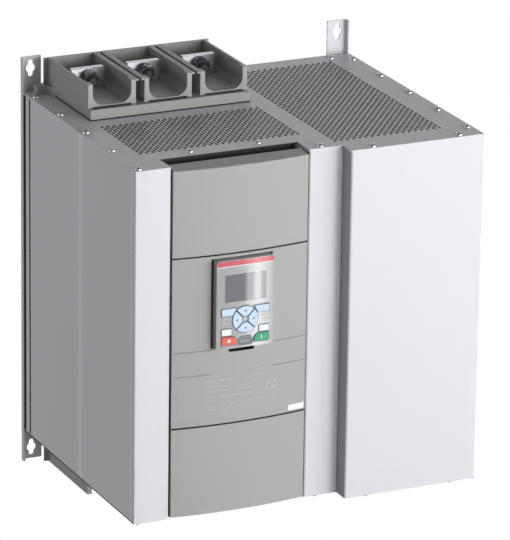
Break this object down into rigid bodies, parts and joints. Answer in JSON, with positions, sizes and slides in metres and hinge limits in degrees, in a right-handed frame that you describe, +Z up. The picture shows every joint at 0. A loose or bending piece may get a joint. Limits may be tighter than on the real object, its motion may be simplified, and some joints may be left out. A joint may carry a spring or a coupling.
{
  "type": "soft starter",
  "caption": "Wall-mounted three-phase soft starter: perforated grey sheet metal body, bowed plastic front with detachable keypad, terminal troughs above and below.",
  "frame": {"origin": "on the wall plane, midway between the four keyholes", "axes": "+X to the right seen from the front, +Y into the wall, +Z up"},
  "size_m": [0.433, 0.3673, 0.514],
  "materials": {
    "painted_sheet": "satin light grey paint",
    "zinc_steel": "bright zinc plating",
    "cover_plastic": "fine matte moulding",
    "shroud_plastic": "satin moulding",
    "tinned_copper": "dull tin plating on copper",
    "copper": "bare copper",
    "cast_aluminium": "extruded, plain",
    "black_plastic": "matte",
    "insulator": "glass filled, matte",
    "circuit_board": "solder resist",
    "terminal_plastic": "matte",
    "graphite_plastic": "fine matte moulding",
    "face_plastic": "gloss film",
    "display_glass": "gloss window",
    "blue_key": "satin",
    "white_key": "satin",
    "red_key": "satin",
    "green_key": "satin"
  },
  "bodies": {
    "enclosure": {"left_side_panel": "painted_sheet", "centre_front_strip": "painted_sheet", "right_module_cover": "painted_sheet", "top_cover": "painted_sheet", "bottom_cover": "painted_sheet", "rear_panel": "painted_sheet", "left_mounting_rail": "painted_sheet", "right_mounting_rail": "painted_sheet", "left_rear_post": "painted_sheet", "right_rear_post": "painted_sheet", "cover_screws": "zinc_steel", "front_frame": "zinc_steel", "terminal_bolts": "zinc_steel", "middle_front_cover": "cover_plastic", "lower_front_cover": "cover_plastic", "line_terminal_shroud": "shroud_plastic", "load_terminal_shroud": "shroud_plastic", "line_bar_1": "tinned_copper", "line_bar_2": "tinned_copper", "line_bar_3": "tinned_copper", "load_bar_1": "tinned_copper", "load_bar_2": "tinned_copper", "load_bar_3": "tinned_copper", "bypass_links": "copper", "contactor_coil": "copper", "heat_sink_1": "cast_aluminium", "heat_sink_2": "cast_aluminium", "heat_sink_3": "cast_aluminium", "thyristor_module_1": "black_plastic", "thyristor_module_2": "black_plastic", "thyristor_module_3": "black_plastic", "current_transformer_1": "black_plastic", "current_transformer_2": "black_plastic", "current_transformer_3": "black_plastic", "left_fan_frame": "black_plastic", "right_fan_frame": "black_plastic", "upper_support_rail": "insulator", "lower_support_rail": "insulator", "contactor_housing": "insulator", "control_board": "circuit_board", "control_terminals": "terminal_plastic"},
    "keypad": {"keypad_housing": "graphite_plastic", "keypad_face": "face_plastic", "display_window": "display_glass", "keypad_board": "circuit_board"},
    "upper_cover": {"upper_front_cover": "cover_plastic"},
    "port_flap_body": {"port_flap": "face_plastic"},
    "left_fan": {"left_fan_rotor": "black_plastic"},
    "right_fan": {"right_fan_rotor": "black_plastic"},
    "carrier": {"contact_carrier": "black_plastic"},
    "left_soft_key_body": {"left_soft_key": "blue_key"},
    "right_soft_key_body": {"right_soft_key": "blue_key"},
    "up_key_body": {"up_key": "blue_key"},
    "left_key_body": {"left_key": "blue_key"},
    "down_key_body": {"down_key": "blue_key"},
    "right_key_body": {"right_key": "blue_key"},
    "info_key_body": {"info_key": "white_key"},
    "mode_key_body": {"mode_key": "white_key"},
    "stop_key_body": {"stop_key": "red_key"},
    "start_key_body": {"start_key": "green_key"}
  },
  "joints": [
    {"name": "keypad_unplug", "type": "slide", "parent": "enclosure", "child": "keypad", "axis": [0, -1, 0], "range_m": [0, 0.05]},
    {"name": "upper_cover_lift_off", "type": "slide", "parent": "enclosure", "child": "upper_cover", "axis": [0, -1, 0], "range_m": [0, 0.06]},
    {"name": "port_flap_hinge", "type": "hinge", "parent": "keypad", "child": "port_flap_body", "pos_m": [-0.0855, -0.3605, -0.004], "axis": [1, 0, 0], "range_deg": [0, 95]},
    {"name": "left_fan_spin", "type": "hinge", "parent": "enclosure", "child": "left_fan", "pos_m": [-0.1395, -0.2265, -0.195], "axis": [0, 0, 1], "continuous": true},
    {"name": "right_fan_spin", "type": "hinge", "parent": "enclosure", "child": "right_fan", "pos_m": [-0.02, -0.2265, -0.195], "axis": [0, 0, 1], "continuous": true},
    {"name": "contact_carrier_slide", "type": "slide", "parent": "enclosure", "child": "carrier", "axis": [0, 1, 0], "range_m": [0, 0.008], "stiffness_N_per_m": 800},
    {"name": "left_soft_key_press", "type": "slide", "parent": "keypad", "child": "left_soft_key_body", "axis": [0, 1, 0], "range_m": [0, 0.0008], "stiffness_N_per_m": 1500},
    {"name": "right_soft_key_press", "type": "slide", "parent": "keypad", "child": "right_soft_key_body", "axis": [0, 1, 0], "range_m": [0, 0.0008], "stiffness_N_per_m": 1500},
    {"name": "up_key_press", "type": "slide", "parent": "keypad", "child": "up_key_body", "axis": [0, 1, 0], "range_m": [0, 0.0008], "stiffness_N_per_m": 1500},
    {"name": "left_key_press", "type": "slide", "parent": "keypad", "child": "left_key_body", "axis": [0, 1, 0], "range_m": [0, 0.0008], "stiffness_N_per_m": 1500},
    {"name": "down_key_press", "type": "slide", "parent": "keypad", "child": "down_key_body", "axis": [0, 1, 0], "range_m": [0, 0.0008], "stiffness_N_per_m": 1500},
    {"name": "right_key_press", "type": "slide", "parent": "keypad", "child": "right_key_body", "axis": [0, 1, 0], "range_m": [0, 0.0008], "stiffness_N_per_m": 1500},
    {"name": "info_key_press", "type": "slide", "parent": "keypad", "child": "info_key_body", "axis": [0, 1, 0], "range_m": [0, 0.0008], "stiffness_N_per_m": 1500},
    {"name": "mode_key_press", "type": "slide", "parent": "keypad", "child": "mode_key_body", "axis": [0, 1, 0], "range_m": [0, 0.0008], "stiffness_N_per_m": 1500},
    {"name": "stop_key_press", "type": "slide", "parent": "keypad", "child": "stop_key_body", "axis": [0, 1, 0], "range_m": [0, 0.0008], "stiffness_N_per_m": 1500},
    {"name": "start_key_press", "type": "slide", "parent": "keypad", "child": "start_key_body", "axis": [0, 1, 0], "range_m": [0, 0.0008], "stiffness_N_per_m": 1500}
  ]
}
